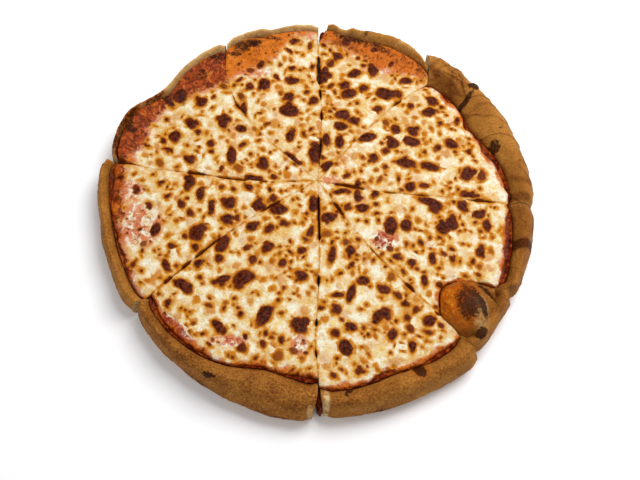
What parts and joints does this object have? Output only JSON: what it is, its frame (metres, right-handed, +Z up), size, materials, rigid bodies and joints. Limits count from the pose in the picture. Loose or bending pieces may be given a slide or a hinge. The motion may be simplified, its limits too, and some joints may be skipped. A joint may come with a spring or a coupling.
{
  "type": "pan pizza",
  "caption": "Round thick-crust cheese pizza, cut into slices that still lie together, with sauce under blistered cheese and a dough bubble on the rim.",
  "frame": {"origin": "middle of the pizza's outline, on the surface it lies on", "axes": "+Z up through the pizza, +Y away from the side that faces the picture's camera, +X to that camera's right"},
  "size_m": [0.3579, 0.3512, 0.0348],
  "materials": {
    "crust": "golden baked dough, tan to brown, dry with an oiled fried outside",
    "sauce": "dark red baked tomato sauce, wet",
    "cheese": "melted creamy cheese with glossy red-brown blisters"
  },
  "bodies": {
    "root": {"crust_1": "crust", "sauce_1": "sauce", "cheese_1": "cheese", "crust_2": "crust", "sauce_2": "sauce", "cheese_2": "cheese", "crust_3": "crust", "sauce_3": "sauce", "cheese_3": "cheese", "crust_4": "crust", "sauce_4": "sauce", "cheese_4": "cheese", "crust_5": "crust", "sauce_5": "sauce", "cheese_5": "cheese", "crust_6": "crust", "sauce_6": "sauce", "cheese_6": "cheese", "crust_7": "crust", "sauce_7": "sauce", "cheese_7": "cheese", "crust_8": "crust", "sauce_8": "sauce", "cheese_8": "cheese"}
  },
  "joints": []
}
